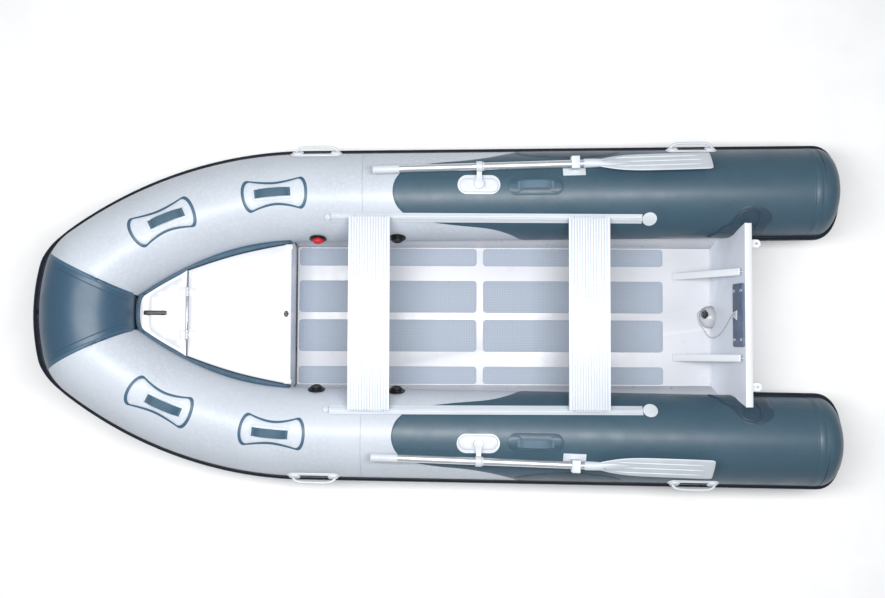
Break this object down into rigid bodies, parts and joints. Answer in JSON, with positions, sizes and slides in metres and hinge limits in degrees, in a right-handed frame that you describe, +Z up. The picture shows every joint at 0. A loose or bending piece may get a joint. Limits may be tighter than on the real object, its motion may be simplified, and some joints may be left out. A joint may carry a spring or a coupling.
{
  "type": "rigid inflatable boat",
  "caption": "Aluminium V-hull tender with inflated side tubes, bow locker, sliding bench seats, raked transom and stowed oars.",
  "frame": {"origin": "middle of the overall length, on the centreline, at the flat of the keel that the boat stands on", "axes": "+X forward to the bow, +Y to port, +Z up"},
  "size_m": [3.9697, 1.73, 0.72],
  "materials": {
    "hull_paint": "white powder coat",
    "deck_paint": "white powder coat, satin",
    "pad_foam": "fine grained anti-slip sheet",
    "motor_pad": "moulded, matt",
    "tube_light": "woven-backed coated fabric, light grey",
    "tube_slate": "woven-backed coated fabric, slate",
    "strake_rubber": "extruded rubber, semi-matt",
    "baffle_fabric": "coated fabric",
    "bare_aluminium": "anodised, ribbed",
    "steel_wire": "stranded wire",
    "pin_steel": "polished",
    "black_plastic": "moulded, matt",
    "red_plastic": "moulded, matt",
    "white_plastic": "moulded, satin",
    "grey_plastic": "moulded, satin",
    "slider_plastic": "moulded, matt",
    "strap_light": "woven strap, slate",
    "strap_dark": "woven strap, dark"
  },
  "bodies": {
    "hull": {"hull_shell": "hull_paint", "keel_strip": "hull_paint", "hull_frames": "hull_paint", "floor_deck": "deck_paint", "floor_pads": "pad_foam", "transom_plate": "hull_paint", "transom_knees": "hull_paint", "motor_pad_inner": "motor_pad", "motor_pad_outer": "motor_pad", "drain_well": "hull_paint", "drain_lanyard": "steel_wire", "lanyard_tab": "deck_paint", "towing_eyes": "hull_paint", "bow_eye": "hull_paint", "nose_tube": "tube_slate", "bow_tube_port": "tube_light", "bow_tube_starboard": "tube_light", "side_tube_port": "tube_slate", "side_tube_starboard": "tube_slate", "stern_cones": "tube_slate", "tube_baffles": "baffle_fabric", "strake_nose": "strake_rubber", "strake_port": "strake_rubber", "strake_starboard": "strake_rubber", "locker_box": "deck_paint", "foredeck": "deck_paint", "deck_edging": "strake_rubber", "bow_cleat": "black_plastic", "hinge_leaf_deck": "deck_paint", "hinge_pin": "pin_steel", "latch_keeper": "deck_paint", "seat_tracks": "grey_plastic", "track_caps": "grey_plastic", "valve_bodies": "black_plastic", "bow_strap_handles": "strap_light", "side_strap_handles": "strap_dark", "carry_handles": "grey_plastic", "rowlock_bases": "white_plastic", "oar_clips": "grey_plastic"},
    "bench_fore": {"bench_fore": "bare_aluminium", "bench_fore_sliders": "slider_plastic"},
    "bench_aft": {"bench_aft": "bare_aluminium", "bench_aft_sliders": "slider_plastic"},
    "locker_lid": {"locker_lid": "deck_paint", "hinge_leaf_lid": "deck_paint"},
    "latch": {"latch_turn": "black_plastic"},
    "oar_port": {"rowlock_port": "white_plastic", "oar_shaft_port": "bare_aluminium", "oar_grip_port": "white_plastic", "oar_blade_port": "grey_plastic"},
    "oar_starboard": {"rowlock_starboard": "white_plastic", "oar_shaft_starboard": "bare_aluminium", "oar_grip_starboard": "white_plastic", "oar_blade_starboard": "grey_plastic"},
    "drain_plug": {"drain_plug": "black_plastic"},
    "valve_cap_1": {"valve_cap_1": "red_plastic"},
    "valve_cap_2": {"valve_cap_2": "black_plastic"},
    "valve_cap_3": {"valve_cap_3": "black_plastic"},
    "valve_cap_4": {"valve_cap_4": "black_plastic"}
  },
  "joints": [
    {"name": "bench_fore_slide", "type": "slide", "parent": "hull", "child": "bench_fore", "axis": [0.9999, 0, 0.0107], "range_m": [-0.35, 0.1]},
    {"name": "bench_aft_slide", "type": "slide", "parent": "hull", "child": "bench_aft", "axis": [0.9999, 0, 0.0107], "range_m": [-0.17, 0.35]},
    {"name": "locker_lid_hinge", "type": "hinge", "parent": "hull", "child": "locker_lid", "pos_m": [1.2573, 0, 0.43724], "axis": [0, 1, 0], "range_deg": [0, 100]},
    {"name": "latch_turn", "type": "hinge", "parent": "locker_lid", "child": "latch", "pos_m": [0.7769, 0, 0.38718], "axis": [-0.0872, 0, 0.9962], "range_deg": [0, 90]},
    {"name": "oar_port_swing", "type": "hinge", "parent": "hull", "child": "oar_port", "pos_m": [-0.172, 0.62, 0.6], "axis": [0, 0, -1], "range_deg": [0, 95]},
    {"name": "oar_starboard_swing", "type": "hinge", "parent": "hull", "child": "oar_starboard", "pos_m": [-0.172, -0.62, 0.6], "axis": [0, 0, 1], "range_deg": [0, 95]},
    {"name": "drain_plug_turn", "type": "hinge", "parent": "hull", "child": "drain_plug", "pos_m": [-1.366, -0.016, 0.13], "axis": [0, 0, 1], "range_deg": [0, 90]},
    {"name": "valve_cap_1_turn", "type": "hinge", "parent": "hull", "child": "valve_cap_1", "pos_m": [0.619, -0.37386, 0.41829], "axis": [0, 0.9511, 0.309], "range_deg": [0, 90]},
    {"name": "valve_cap_2_turn", "type": "hinge", "parent": "hull", "child": "valve_cap_2", "pos_m": [0.619, 0.37386, 0.41829], "axis": [0, -0.9511, 0.309], "range_deg": [0, 90]},
    {"name": "valve_cap_3_turn", "type": "hinge", "parent": "hull", "child": "valve_cap_3", "pos_m": [0.226, -0.3797, 0.41829], "axis": [0, 0.9511, 0.309], "range_deg": [0, 90]},
    {"name": "valve_cap_4_turn", "type": "hinge", "parent": "hull", "child": "valve_cap_4", "pos_m": [0.226, 0.3797, 0.41829], "axis": [0, -0.9511, 0.309], "range_deg": [0, 90]}
  ]
}
